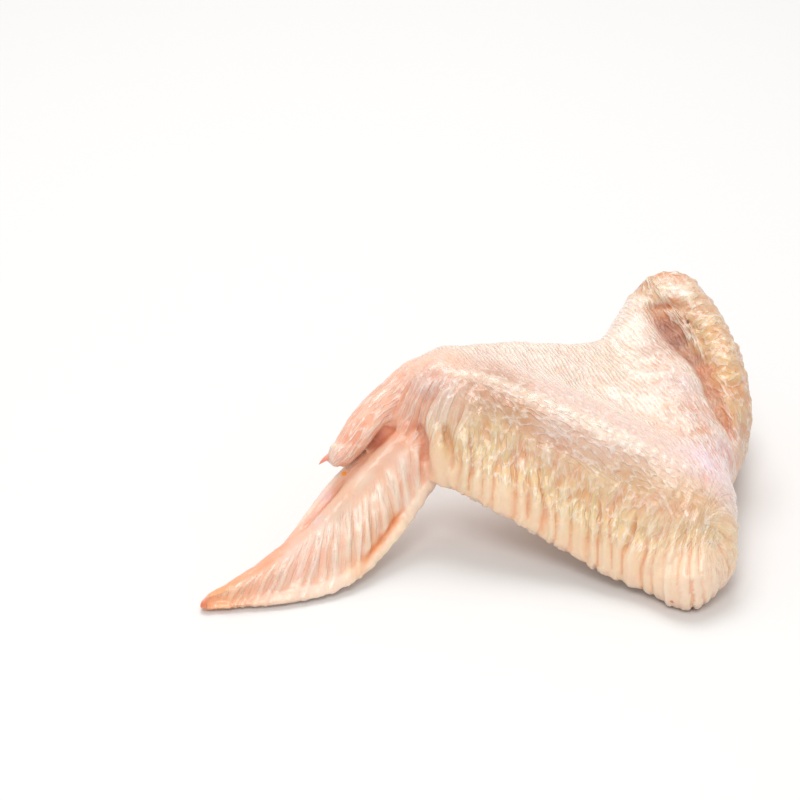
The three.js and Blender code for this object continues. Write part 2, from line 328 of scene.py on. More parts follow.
def pointsOf(mesh):
    found = np.empty(len(mesh.vertices) * 3, np.float32)
    mesh.vertices.foreach_get("co", found)
    return found.reshape(-1, 3).astype(float)


def setPoints(mesh, points):
    mesh.vertices.foreach_set("co", points.astype(np.float32).ravel())
    mesh.update()


def store(mesh, name, values):
    if values.ndim == 1:
        made, field = mesh.attributes.new(name, "FLOAT", "POINT"), "value"
    elif values.shape[1] == 3:
        made, field = mesh.attributes.new(name, "FLOAT_VECTOR", "POINT"), "vector"
    else:
        made, field = mesh.attributes.new(name, "FLOAT_COLOR", "POINT"), "color"
    made.data.foreach_set(field, values.astype(np.float32).ravel())


# the skin's base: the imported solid, drawn smooth

base = {
    "voxel": 0.56,       # mm
    "weld": 0.01,               # mm between points that become one
    "passes": 12,
    "strokes": (0.5, -0.52),    # each pass smooths, then swells back
    "thin": 0.65,               # share of the hand's rim that goes, from above
    "margin": 0.02,             # mm kept inside the solid's box
}


def keepLargest(mesh):  # crumbs that the remesh leaves go
    work = bmesh.new()
    work.from_mesh(mesh)
    left, shells = set(work.verts), []
    while left:
        front, shell = [left.pop()], []
        while front:
            vert = front.pop()
            shell.append(vert)
            for edge in vert.link_edges:
                other = edge.other_vert(vert)
                if other in left:
                    left.discard(other)
                    front.append(other)
        shells.append(shell)
    for shell in sorted(shells, key=len)[:-1]:
        bmesh.ops.delete(work, geom=shell, context="VERTS")
    work.to_mesh(mesh)
    work.free()


def smoothSkin():
    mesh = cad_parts["wing"].data.copy()
    work = bmesh.new()
    work.from_mesh(mesh)
    bmesh.ops.remove_doubles(work, verts=work.verts, dist=base["weld"] * mm)
    work.to_mesh(mesh)
    work.free()
    skin = add("wingSkin", mesh)
    remesh = skin.modifiers.new("remesh", "REMESH")
    remesh.mode = "VOXEL"
    remesh.voxel_size = base["voxel"] * mm
    remesh.use_smooth_shade = True
    plain(skin)
    keepLargest(skin.data)
    points = pointsOf(skin.data)
    edges = np.empty(len(skin.data.edges) * 2, np.int32)
    skin.data.edges.foreach_get("vertices", edges)
    a, b = edges.reshape(-1, 2).T
    count = np.bincount(np.concatenate([a, b]), minlength=len(points))[:, None]
    for i in range(base["passes"]):
        for stroke in base["strokes"]:
            total = np.zeros_like(points)
            for k in range(3):
                total[:, k] += np.bincount(a, points[b, k], len(points))
                total[:, k] += np.bincount(b, points[a, k], len(points))
            points += stroke * (total / count - points)
    setPoints(skin.data, thinned(points / mm) * mm)
    return skin


skin = smoothSkin()
print("base skin", len(skin.data.vertices), "points")


# where each point of the skin belongs

skinParts = ("flat", "web", "hand", "thumb", "drum", "back")
blendReach = 1.3        # mm over which one part passes into the next


def lookUp(mesh):
    points = pointsOf(mesh) / mm
    normals = np.empty(len(points) * 3, np.float32)
    mesh.vertex_normals.foreach_get("vector", normals)
    normals = normals.reshape(-1, 3)
    found = {"points": points, "normals": normals}
    found["flatT"], found["flatS"], flatD = onSheet(points, flatEdge, bones)
    found["webT"], found["webS"], webD = onSheet(points, webEdge, webFoot)
    found["handT"], found["handS"], handD = onSheet(points, handEdge, finger)
    flatD = np.minimum(flatD, onLimb(points, corner)[1])
    limbs = [onLimb(points, limb)[1] for limb in (thumb, drumette, backFold)]
    gaps = np.stack([flatD, webD, handD, *limbs])
    near = np.exp(-(gaps - gaps.min(0)) / blendReach)
    near /= near.sum(0)
    for name, weight in zip(skinParts, near):
        found[name] = weight
    found["outer"] = smooth(-0.15, 0.35, normals @ outerSide)
    return found


# depth and half width in mm, then the line's places: a depth below nothing is a ridge
creases = {
    "armValley": (1.8, 2.4, [(44.6, 37.1, 40.1), (48.4, 30.7, 36.8), (53.0, 22.6, 34.3), (57.1, 13.4, 31.9),
                             (59.6, 4.1, 28.8), (62.2, -2.6, 23.8), (64.6, -7.3, 18.2)]),
    "armDent": (0.9, 1.6, [(43.4, 35.2, 39.6), (49.7, 34.9, 40.0), (55.2, 31.3, 39.8)]),
    "armLobe": (-0.7, 2.2, [(45.7, 39.0, 40.6), (51.7, 38.3, 42.0), (57.9, 34.6, 41.0)]),
    "armMound": (-0.9, 3.5, [(58.6, 15.3, 32.6), (53.1, 9.1, 33.7), (57.0, 1.0, 30.8)]),
    "innerWrist": (1.5, 0.9, [(-18.2, -14.2, 33.0), (-16.2, -16.3, 29.5), (-15.7, -18.1, 25.7),
                              (-15.9, -19.7, 22.3)]),
    "outerWrist": (1.2, 1.0, [(-11.0, -15.5, 33.7), (-10.0, -17.0, 30.0), (-9.0, -21.0, 26.0),
                              (-9.5, -23.3, 21.6)]),
    "underThumb": (1.4, 1.1, [(-22.2, -13.9, 32.2), (-27.9, -15.9, 28.1), (-31.2, -16.2, 23.9)]),
    "fingerBone": (-0.6, 2.3, [(-22.7, -15.0, 31.1), (-30.4, -22.0, 23.1), (-37.8, -30.0, 17.0),
                               (-45.1, -36.7, 12.0), (-54.2, -43.7, 7.8)]),
    "handMargin": (1.1, 0.9, [(-35.4, -22.1, 21.4), (-39.3, -26.7, 18.4), (-43.2, -30.1, 15.3),
                              (-47.6, -35.4, 12.3)]),
    "handFlap": (-1.6, 2.0, [(-22.0, -9.0, 29.0), (-29.5, -13.3, 25.1), (-34.8, -18, 21.5),
                             (-38.6, -21.8, 18.8), (-42.6, -26.2, 15.8), (-46.3, -30.8, 12.7),
                             (-52.5, -37.0, 9.0)]),
    "thumbEnd": (-1.0, 1.8, [(-37.5, -19.5, 30.2), (-38.6, -21.2, 27.9), (-38.6, -21.8, 25.4),
                             (-36.5, -22.2, 24.0)]),
    "handRim": (0.7, 0.8, [(-20.2, -25.4, 14.9), (-23.7, -29.4, 11.9), (-25.9, -32.4, 9.7),
                           (-28.9, -35.8, 7.8), (-31.1, -39.0, 5.8)]),
    "brow": (-0.8, 2.6, [(-12.9, -8.4, 43.5), (-1.9, -9.0, 42.1), (10.4, -13.7, 39.0), (24.9, -20.9, 35.5),
                         (39.4, -26.6, 31.2), (51.2, -33.3, 27.2)]),
    "belowBrow": (0.5, 2.4, [(-9.0, -12.5, 40.0), (2.9, -16.7, 34.4), (17.6, -23.1, 30.7),
                             (32.0, -30.2, 25.9), (43.7, -37.7, 22.9)]),
    "web": (0.5, 2.5, [(19.0, 2.7, 37.2), (31.5, -2.2, 33.0), (41.3, -7.7, 31.5), (50.6, -15.1, 30.6)]),
}


def lineOf(places):  # a crease's line, laid on the thinned skin
    return np.hstack([thinned(np.array(places, float)), np.zeros((len(places), 1))])


def creaseDepth(points):
    total = np.zeros(len(points))
    for depth, reach, places in creases.values():
        t, away = onLimb(points, lineOf(places))
        total += depth * np.exp(-((away / reach) ** 2)) * smooth(0, 0.2, t) * smooth(1, 0.75, t)
    return total


at = lookUp(skin.data)
store(skin.data, "crease", creaseDepth(at["points"]))
store(skin.data, "thumbPlace", roundLimb(at["points"], thumb))
store(skin.data, "backPlace", roundLimb(at["points"], backFold))
length = {"flat": 87.5, "web": 66.0, "hand": 62.0}    # mm along each sheet
width = {"flat": 22.0, "web": 26.0, "hand": 14.0}     # mm across it
for name in (*skinParts, "outer"):
    store(skin.data, name, at[name])
for name in length:
    place = np.stack([at[name + "T"] * length[name], at[name + "S"] * width[name], at[name + "S"] * 0], 1)
    store(skin.data, name + "Place", place)
print("skin measured")


# the relief, by Geometry Nodes

wristFolds = {"spot": (-13.5, -13.0, 35.0), "far": 13.0, "close": 6.0}      # mm
elbowEnd = {"x": 51.0, "y": -41.0, "radius": 9.0}       # the corner in plan, mm
webTurn = (0.885, 0.466)                # in plan, the way across the web's lines
handFan = 0.05 / width["hand"]          # how fast the hand's ridges spread
relief = {
    "Flute pitch": 4.12,
    "Flute depth": 1.7,
    "Rib pitch": 2.0,
    "Rib depth": 0.2,
    "Fold spacing": 2.6,
    "Fold depth": 1.0,
    "Bump spacing": 1.9,
    "Bump height": 0.35,
    "Crepe spacing": 2.2,
    "Crepe depth": 0.18,
    "Ridge pitch": 2.9,
    "Ridge depth": 0.85,
    "Wrinkle pitch": 2.2,
    "Wrinkle depth": 0.4,
    "Lump size": 6.0,
    "Lump height": 0.5,
    "Sink": 0.35,           # the middle of the relief, kept at the solid's surface
}


class SkinPlaces:
    # what both trees read off the skin, as wires: the part a point is on, and its place there in mm
    def __init__(self, n, position):
        self.place = n.scaled(position, 1 / mm)
        self.x, self.y, self.z = n.parts(self.place)
        for name in (*skinParts, "outer", "crease"):
            setattr(self, name, n.attribute(name))
        self.flatAlong, self.flatAcross, _ = n.parts(n.attribute("flatPlace", True))
        self.handAlong, self.handAcross, _ = n.parts(n.attribute("handPlace", True))
        self.thumbAlong, self.thumbRound, _ = n.parts(n.attribute("thumbPlace", True))
        self.backAlong, self.backRound, _ = n.parts(n.attribute("backPlace", True))
        self.acrossLines = self.x * webTurn[0] + self.y * webTurn[1]
        self.alongLines = self.x * webTurn[1] - self.y * webTurn[0]
        self.fan = self.handAlong - (length["hand"] - self.handAlong) * self.handAcross * handFan
        self.wrist = n.near(self.place, wristFolds["spot"], wristFolds["far"], wristFolds["close"])
        self.roundElbow = (self.y - elbowEnd["y"]).angle(self.x - elbowEnd["x"]) * elbowEnd["radius"]


def ribs(turn, sharp):  # even ridges, one for each whole turn
    return ((turn * (2 * math.pi)).cosine() * 0.5 + 0.5) ** sharp


def petals(turn):  # broad ridges with narrow creases between
    return (turn * math.pi).sine().absolute()


def sway(n, across, along, reach):
    return n.noise(n.vector(across / reach, along / reach), 1.0, 1.0) - 0.5


def wrinkles(n, across, along, depth):  # soft ridges and hollows
    return n.noise(n.vector(across, along, depth), 1.0, 1.0, 0.4) - 0.5


def flatRelief(n, skin, size):
    x, y = skin.flatAlong, skin.flatAcross
    # flutes hang to the lower edge, with finer ribs over them towards the elbow
    turn = (x - y * 0.12) / size["Flute pitch"] - 0.6 + sway(n, x, y * 0.6, 9.0) * 2.0
    long = n.noise(n.vector(x / 3.0, 5.0), 1.0, 0.0).ramp(0.3, 0.7, 7.0, 15.0)
    deep = n.noise(n.vector(x / 5.0, 9.0), 1.0, 0.0).ramp(0.35, 0.6, 0.35, 1.0)
    flutes = (petals(turn) - 0.6) * (1.0 - y / long).clamped() ** 0.6 * y.ramp(-0.5, 2.5, 0.55, 1.0)
    flutes = flutes * deep * x.ramp(84.0, 66.0, 0.12, 1.0) * x.ramp(0.0, 2.5) * size["Flute depth"]
    turn = (x - y * 0.1) / size["Rib pitch"] + sway(n, x + 40.0, y * 0.5, 5.0) * 2.4
    fineRibs = (ribs(turn, 1.0) - 0.4) * y.ramp(18.0, 9.0) * x.ramp(12.0, 50.0, 0.3, 1.0)
    fineRibs = fineRibs * x.ramp(86.0, 76.0) * size["Rib depth"]
    # short slanting folds above them, like long drops
    slant = (x - y * 0.5) / size["Fold spacing"]
    drops = n.beads(n.vector(slant, y / size["Fold spacing"] / 2.6, 4.0), 1.0, 0.85)
    folds = (drops.ramp(0.75, 0.1) - 0.4) * y.ramp(3.5, 8.0) * y.ramp(21.0, 16.0, 0.25, 1.0)
    folds = folds * n.noise(n.vector(x / 6.0, y / 6.0, 2.0), 1.0, 0.0).ramp(0.35, 0.6, 0.45, 1.0)
    folds = folds * x.ramp(76.0, 55.0, 0.3, 1.0) * x.ramp(0.0, 3.0) * size["Fold depth"]
    elbowLines = wrinkles(n, skin.roundElbow / 1.5, skin.z / 6.0, 4.0) * x.ramp(70.0, 82.0) * 1.5
    return flutes + fineRibs + folds + elbowLines + 0.35


def featherBumps(n, skin, webAcross, size):  # over the brow and the upper arm, larger on its back
    spots = n.beads(n.scaled(skin.place, 1.0 / size["Bump spacing"]), 1.0)
    large = n.beads(n.scaled(skin.place, 0.7 / size["Bump spacing"]), 1.0)
    bumps = spots.ramp(0.65, 0.1) * size["Bump height"]
    bumps = bumps + (large.ramp(0.7, 0.1) * 1.6 * size["Bump height"] - bumps) * skin.back
    brow = skin.flat * skin.flatAcross.ramp(11.0, 17.0) * 0.7
    brow = brow + skin.web * webAcross.ramp(11.0, 22.0) * 0.5
    return (brow + skin.drum * 0.3 + skin.back).clamped() * bumps


def handRelief(n, skin, size):  # ridges fan out between the finger and the rim
    x, y = skin.handAlong, skin.handAcross
    turn = skin.fan / size["Ridge pitch"] + sway(n, x, y * 0.3, 6.0) * 1.6
    uneven = n.noise(n.vector(skin.fan / 2.6, y / 9.0, 3.0), 1.0, 1.0).ramp(0.35, 0.6, 0.1, 1.0)
    ridges = ribs(turn, 1.4) * uneven * size["Ridge depth"]
    ridges = ridges * y.ramp(0.2, 2.2, 0.35, 1.0) * y.ramp(12.0, 8.5) * x.ramp(60.0, 50.0)
    rim = y.ramp(1.4, 0.4) * x.ramp(46.0, 36.0) * 0.35
    return ridges + rim


def skinHeight(n, skin, size):
    x, y, z = skin.x, skin.y, skin.z
    webAcross = n.parts(n.attribute("webPlace", True))[1]
    spacing, pitch, depth = size["Crepe spacing"], size["Wrinkle pitch"], size["Wrinkle depth"]
    lines = n.vector(skin.acrossLines / spacing, skin.alongLines / spacing / 4.0, 7.0)
    crepe = (n.noise(lines, 1.0, 2.0, 0.6) - 0.5) * 3.0 * size["Crepe depth"]
    thumbLines = wrinkles(n, skin.thumbRound / pitch, skin.thumbAlong / pitch / 4.0, 8.0) * 3.0 * depth
    backLines = wrinkles(n, skin.backRound / pitch, skin.backAlong / pitch / 3.0, 5.0) * 2.0 * depth
    wristLines = wrinkles(n, (x - y) * (0.7 / 1.7), (x + y - z * 0.4) * (0.7 / 6.0), 6.0) * 1.8
    dents = wrinkles(n, x / 3.4, y / 4.6, z / 4.0) * 1.6
    lumps = (n.noise(skin.place, 1.0 / size["Lump size"], 2.0, 0.5) - 0.5) * size["Lump height"] * 2.0
    grains = (n.noise(skin.place, 1.0 / 1.9, 2.0, 0.5) - 0.5) * 0.6
    height = skin.flat * flatRelief(n, skin, size) + featherBumps(n, skin, webAcross, size)
    height = height + (skin.web + skin.drum * 0.8) * crepe + skin.hand * handRelief(n, skin, size)
    height = height + skin.thumb * (thumbLines + 0.2) + skin.back * backLines * skin.backRound.ramp(2.0, 6.0)
    height = height + lumps * (0.5 + skin.back * 0.7 + skin.drum * 0.3) + grains * (0.35 + skin.back * 0.6)
    dented = skin.drum * 0.6 + skin.web * webAcross.ramp(4.0, 14.0) * 0.5 + skin.thumb * 0.3
    height = height + dents * dented
    height = height + wristLines * skin.wrist
    # the hidden side is calmer, but not the free edges
    edges = (skin.flat * skin.flatAcross.ramp(3.5, 1.0)).largest(skin.hand * skin.handAcross.ramp(2.5, 0.8))
    shown = edges.largest(skin.outer)
    height = height * (shown * 0.8 + 0.2) + (lumps + grains * 0.3) * (1.0 - shown) * 0.4
    return height - skin.crease


def reliefTree(material):
    group = bpy.data.node_groups.new("skinRelief", "GeometryNodeTree")
    group.interface.new_socket("Geometry", in_out="INPUT", socket_type="NodeSocketGeometry")
    group.interface.new_socket("Geometry", in_out="OUTPUT", socket_type="NodeSocketGeometry")
    for name, value in relief.items():
        group.interface.new_socket(name, in_out="INPUT", socket_type="NodeSocketFloat").default_value = value
    n = Tree(group)
    entry = group.nodes.new("NodeGroupInput")
    size = {s.name: Wire(n, s) for s in entry.outputs if s.name}
    height = skinHeight(n, SkinPlaces(n, n.node("GeometryNodeInputPosition")), size)
    offset = n.scaled(n.node("GeometryNodeInputNormal"), (height - size["Sink"]) * mm)
    moved = n.node("GeometryNodeSetPosition", None, {"Geometry": size["Geometry"], "Offset": offset})
    stored = n.node("GeometryNodeStoreNamedAttribute", {"data_type": "FLOAT", "domain": "POINT"},
                    {"Geometry": moved, "Name": "relief", "Value": height})
    real = n.node("GeometryNodeRealizeInstances", None, {"Geometry": stored})
    dressed = n.node("GeometryNodeSetMaterial", None, {"Geometry": real, "Material": material})
    leave = group.nodes.new("NodeGroupOutput")
    group.links.new(dressed.socket, leave.inputs[0])
    return group


# colours painted on the skin: each part's own, then stains, and painted shade in grooves and creases

paint = {
    "edge": (246, 214, 180),
    "skirt": (236, 204, 158),
    "flat": (234, 200, 166),
    "brow": (238, 208, 194),
    "web": (248, 228, 212),
    "drum": (236, 208, 188),
    "back": (219, 184, 149),
    "hand": (252, 222, 200),
    "finger": (234, 184, 152),
    "thumb": (248, 196, 170),
    "inner": (240, 212, 192),
}
stainsAndShade = [      # place, reach in mm, colour, strength
    ((8.3, -16.2, 37.0), 6, (212, 154, 102), 0.8),      # below the brow
    ((0.0, -13.5, 39.5), 5, (220, 168, 132), 0.7),
    ((1.8, -9.0, 41.8), 9, (200, 146, 116), 0.85),
    ((-9.0, -4.0, 44.0), 6, (236, 196, 172), 0.6),
    ((52.5, 38.2, 42.5), 4, (252, 236, 218), 0.7),
    ((-4.5, -13.6, 38.4), 6, (226, 184, 150), 0.5),
    ((19.0, -22.5, 33.5), 6, (218, 168, 128), 0.65),
    ((29.6, -26.9, 30.5), 7, (224, 186, 158), 0.5),
    ((48.5, -37.6, 24.2), 6, (222, 180, 122), 0.8),     # over the elbow
    ((36.8, -31.4, 26.1), 7, (222, 184, 140), 0.6),
    ((55.0, -25.5, 27.6), 7, (246, 220, 234), 0.8),     # mauve
    ((60.0, -17.0, 25.0), 5, (244, 216, 230), 0.6),
    ((64.1, -2.3, 22.9), 4, (230, 200, 206), 0.5),
    ((17.6, -21.1, 34.2), 4, (226, 206, 198), 0.4),
    ((45.3, 34.7, 38.8), 3, (206, 164, 126), 0.7),      # the groove of the upper arm: painted shade in the hollow, over its mauve tone
    ((49.0, 30.0, 36.6), 3, (160, 112, 102), 0.75),
    ((51.8, 24.8, 35.0), 3.8, (128, 82, 82), 0.9),
    ((54.5, 18.7, 33.4), 3.4, (146, 94, 88), 0.85),
    ((57.2, 12.0, 31.4), 2.8, (180, 124, 104), 0.75),
    ((58.8, 7.0, 29.8), 2.4, (196, 142, 120), 0.7),
    ((61.4, -1.0, 25.8), 2.4, (200, 142, 120), 0.7),
    ((64.6, -7.3, 18.2), 3, (222, 174, 150), 0.6),
    ((49.7, 34.9, 40.0), 2.6, (208, 160, 104), 0.7),
    ((58.5, 23.1, 36.4), 6, (226, 190, 136), 0.7),      # yellow bumps beside it
    ((62.4, 11.9, 32.0), 5, (226, 188, 130), 0.75),
    ((65.0, 1.3, 26.6), 5, (230, 196, 146), 0.7),
    ((45.0, 18.5, 36.3), 6, (210, 172, 158), 0.8),
    ((51.0, 3.0, 32.6), 6, (220, 192, 188), 0.7),
    ((54.5, -7.8, 31.4), 5, (222, 192, 186), 0.6),
    ((35.5, 15.0, 34.5), 8, (238, 216, 192), 0.6),
    ((12.0, 5.0, 41.0), 8, (248, 230, 216), 0.5),
    ((-14.9, -10.6, 40.5), 5, (212, 178, 172), 0.65),    # wrist
    ((-22.0, -9.5, 37.5), 5, (226, 178, 154), 0.65),
    # along the inner wrist crease: painted shade in the crease, over the skin's orange
    ((-15.9, -20.0, 21.8), 3, (236, 168, 132), 0.6),
    ((-16.0, -17.5, 27.5), 2.4, (236, 170, 138), 0.5),
    ((-18.9, -14.9, 31.9), 2.6, (230, 168, 146), 0.6),
    ((-23.2, -19.3, 25.8), 4, (242, 216, 200), 0.6),
    ((0.5, -18.2, 31.0), 6, (228, 206, 158), 0.7),      # yellow fat under the flat's skin
    ((24.8, -31.3, 20.2), 8, (228, 200, 148), 0.5),
    ((-5.8, -23.9, 24.3), 5, (226, 202, 168), 0.5),
    ((50.4, -51.8, 7.6), 9, (253, 222, 198), 0.8),      # the elbow's corner
    ((58.4, -41.4, 15.1), 7, (244, 212, 174), 0.6),
    ((-27.5, -15.6, 27.5), 2.4, (206, 128, 92), 0.8),   # the groove under the thumb: painted shade under the thumb's edge
    ((-32.0, -16.8, 23.5), 2.6, (214, 146, 112), 0.7),
    ((-38.6, -22.1, 26.7), 3, (244, 170, 146), 0.8),
    ((-41.4, -20.7, 25.0), 2, (230, 124, 98), 0.9),     # claw
    ((-35.9, -20.0, 21.0), 3, (226, 168, 140), 0.6),    # the hand's leading fold
    ((-40.6, -25.3, 17.5), 2.6, (226, 182, 186), 0.7),
    ((-42.6, -32.0, 14.6), 2.6, (216, 204, 206), 0.6),
    ((-37.3, -30.7, 16.3), 3.5, (224, 194, 172), 0.6),  # bone under thin skin
    ((-30.6, -24.1, 21.5), 4, (244, 224, 206), 0.6),
    ((-46.5, -39.9, 9.7), 7, (248, 200, 186), 0.5),
    ((-56.0, -47.0, 5.7), 7, (250, 196, 168), 0.6),
    ((-67.5, -50.2, 3.5), 7, (255, 194, 142), 0.9),     # the tip
    ((-71.0, -50.2, 2.9), 2.6, (226, 112, 72), 0.95),
    ((-47.0, -31.6, 12.5), 4, (244, 184, 160), 0.6),
    ((-23.0, -28.4, 12.6), 3, (240, 186, 130), 0.6),    # the rim's orange fold
    ((-27.3, -33.9, 8.9), 3, (240, 184, 126), 0.6),
    ((-31.5, -39.5, 5.6), 3, (242, 190, 132), 0.7),
]
rimPaint = {"lip": (250, 224, 196), "fold": (236, 148, 76), "reach": 0.9}       # reach in mm
cutEnd = {
    "x": 52.06,             # the middle of the cut, mm
    "y": 50.5,
    "z": 17.6,
    "lean": 0.15,           # how far it leans back as it rises
    "knob": 7.5,            # the joint's radius, mm
    "rim": 0.7,             # mm over which the joint passes into the meat
    "meat": (206, 122, 108),
    "cartilage": (236, 226, 220),
}


def towards(colour, tone, share):
    return colour + (tone - colour) * share[:, None]


def partColours(tone):
    flatTone = towards(tone["edge"], tone["skirt"], smooth(0.02, 0.3, at["flatS"]))
    flatTone = towards(flatTone, tone["flat"], smooth(0.4, 0.7, at["flatS"]))
    own = dict(tone)
    own["flat"] = towards(flatTone, tone["brow"], smooth(0.7, 0.98, at["flatS"]))
    own["web"] = towards(tone["web"], tone["brow"], smooth(0.6, 1.0, at["webS"]))
    own["hand"] = towards(tone["hand"], tone["finger"], smooth(0.75, 1.0, at["handS"]))
    return sum(at[name][:, None] * own[name] for name in skinParts)


def beyondValley(points):  # 1 on the back fold's side of the groove
    valley = onRow(lineOf(creases["armValley"][2]), np.linspace(0, 1, 60))[:, :3]
    nearest = nearestOf(points, valley)
    run = np.gradient(valley, axis=0)[nearest, :2]
    away = points[:, :2] - valley[nearest, :2]
    beyond = (away[:, 1] * run[:, 0] - away[:, 0] * run[:, 1]) / np.linalg.norm(run, axis=1)
    return smooth(0, 2, beyond) * smooth(-12, -5, points[:, 1])


def paintSkin():
    tone = {name: np.array(linear(*colour)) for name, colour in paint.items()}
    points = at["points"]
    colour = partColours(tone)
    colour = towards(colour, tone["back"], beyondValley(points) * (at["drum"] + at["back"]) * at["outer"])
    colour = towards(colour, tone["inner"], (1 - at["outer"]) * (1 - at["back"]) * 0.7)
    # stains, and painted shade in the grooves and creases
    for place, reach, spotTone, strength in stainsAndShade:
        away = np.linalg.norm(points - np.array(place), axis=1)
        colour = towards(colour, linear(*spotTone), strength * np.exp(-((away / reach) ** 2)))
    # an orange fold inside the hand's rim, and a pale lip outside it
    t, away = onLimb(points, lineOf(creases["handRim"][2]))
    within = smooth(0, 0.15, t) * smooth(1, 0.85, t) * at["hand"]
    outside = smooth(1.8, 0.6, at["handS"] * width["hand"]) * smooth(0.5, 1.8, away)
    colour = towards(colour, linear(*rimPaint["lip"]), outside * within * 0.7)
    inFold = np.exp(-((away / rimPaint["reach"]) ** 2)) * within
    colour = towards(colour, linear(*rimPaint["fold"]), inFold * 0.8)
    # the cut end: meat, with the joint's cartilage in it
    beyond = points[:, 1] - (cutEnd["y"] - cutEnd["lean"] * (points[:, 2] - cutEnd["z"]))
    fromJoint = np.linalg.norm(points[:, [0, 2]] - np.array([cutEnd["x"], cutEnd["z"]]), axis=1)
    cut = smooth(-1.2, -0.1, beyond) * smooth(0.5, 0.8, at["normals"][:, 1])
    knob = smooth(cutEnd["rim"], -cutEnd["rim"], fromJoint - cutEnd["knob"]) * smooth(-2, 0, beyond)
    colour = towards(colour, linear(*cutEnd["meat"]), cut)
    colour = towards(colour, linear(*cutEnd["cartilage"]), knob)
    store(skin.data, "tint", np.hstack([colour, np.ones((len(points), 1))]))
    store(skin.data, "cut", np.maximum(cut, knob))


paintSkin()
print("skin painted")


# the skin's finish

skinLook = {
    "roughness": 0.42,
    "gloss": 0.75,          # wetness
    "glossRoughness": 0.17,
    "bending": 1.4,
    "soft": 0.35,           # light that passes under the skin
    "softShares": (1.0, 0.42, 0.24),    # red light passes furthest
    "softReach": 0.0022,    # m
    "grain": 0.0004,        # m, the height of the fine wrinkles and pores
    "wrinkles": 0.7,
    "pores": 0.4,
    "webPitch": 1.15,       # mm from line to line
    "dullArm": 0.45,        # the upper arm is less wet
}
specks = [      # place, reach in mm, colour, strength
    ((54.4, 29.3, 37.6), 0.55, (60, 42, 36), 1.0),
    ((-35.9, -21.0, 21.4), 0.7, (244, 160, 40), 1.0),
    ((44.0, -50.6, 3.2), 0.5, (214, 96, 74), 0.8),
]
speckRim = 0.25         # mm


def streaks(n, across, along, pitch, long, seed):  # thin raised wrinkles on a calmer ground
    field = n.noise(n.vector(across / pitch, along / long, seed), 1.0, 1.5, 0.5)
    return (1.0 - (field - 0.5).absolute() * 9.0).clamped() * 1.3 - 0.35


def skinGrain(n, skin, mottle, veins):
    # each part has its own: lines over the web, a net on the brow, drawn-out wrinkles below
    x, y, z = skin.x, skin.y, skin.z
    along, across = skin.flatAlong, skin.flatAcross
    lines = ((skin.acrossLines + (mottle - 0.5) * 2.6) * (2 * math.pi / skinLook["webPitch"])).cosine() * 0.8
    crinkle = streaks(n, skin.acrossLines, skin.alongLines, 1.3, 4.0, 1.0)
    web = lines * veins.ramp(0.35, 0.6, 0.35, 1.0) + crinkle * 0.3
    drum = lines * veins.ramp(0.45, 0.6) * 0.6 + crinkle * 0.9
    brow = streaks(n, x * 0.55 + y * 0.75 + z * 0.3, x * 0.8 - y * 0.6, 1.3, 4.2, 2.0)
    brow = brow * veins.ramp(0.35, 0.6, 0.4, 1.0)
    skirt = streaks(n, along - across * 0.35, across, 1.6, 4.6, 3.0) * 0.72
    skirt = skirt * across.ramp(1.0, 5.0) * along.ramp(0.0, 3.0) * along.ramp(87.0, 79.0)
    flat = skirt + (brow - skirt) * across.ramp(13.0, 18.0)
    hand = streaks(n, skin.fan, skin.handAcross, 1.4, 9.0, 4.0) * 0.55
    hand = hand * skin.handAcross.ramp(0.8, 3.0) * skin.handAcross.ramp(13.0, 9.5)
    thumbs = streaks(n, skin.thumbRound, skin.thumbAlong, 1.3, 7.0, 5.0) * 0.8
    down = streaks(n, skin.backRound, skin.backAlong, 1.2, 7.0, 6.0)
    rows = streaks(n, skin.backAlong, skin.backRound, 2.0, 3.6, 7.0) * 0.7
    back = rows + (down - rows) * skin.backRound.ramp(1.0, 5.0)
    grain = skin.flat * flat + skin.web * web + skin.drum * drum
    grain = grain + skin.hand * hand + skin.thumb * thumbs + skin.back * back
    wrist = streaks(n, (x - y) * 0.7, (x + y) * 0.7 - z * 0.3, 1.5, 6.0, 8.0)
    grain = grain + (wrist - grain) * skin.wrist * 0.8
    elbow = streaks(n, skin.roundElbow, z, 1.2, 4.0, 9.0)
    grain = grain + elbow * skin.flat * along.ramp(72.0, 82.0) * 0.55
    # the hidden side has plain crepe, and the cut end has the meat's fibres
    crepe = (n.noise(skin.place, 0.8, 3.0, 0.6) - 0.5) * 2.4
    fibres = (n.noise(n.vector(x / 1.6, z / 1.1, 9.0), 1.0, 2.0, 0.6) - 0.5) * 2.5
    grain = grain * skin.outer.ramp(0.15, 0.9, 0.12, 1.0) + crepe * (1.0 - skin.outer)
    cut = n.attribute("cut")
    return grain * (1.0 - cut) + fibres * cut


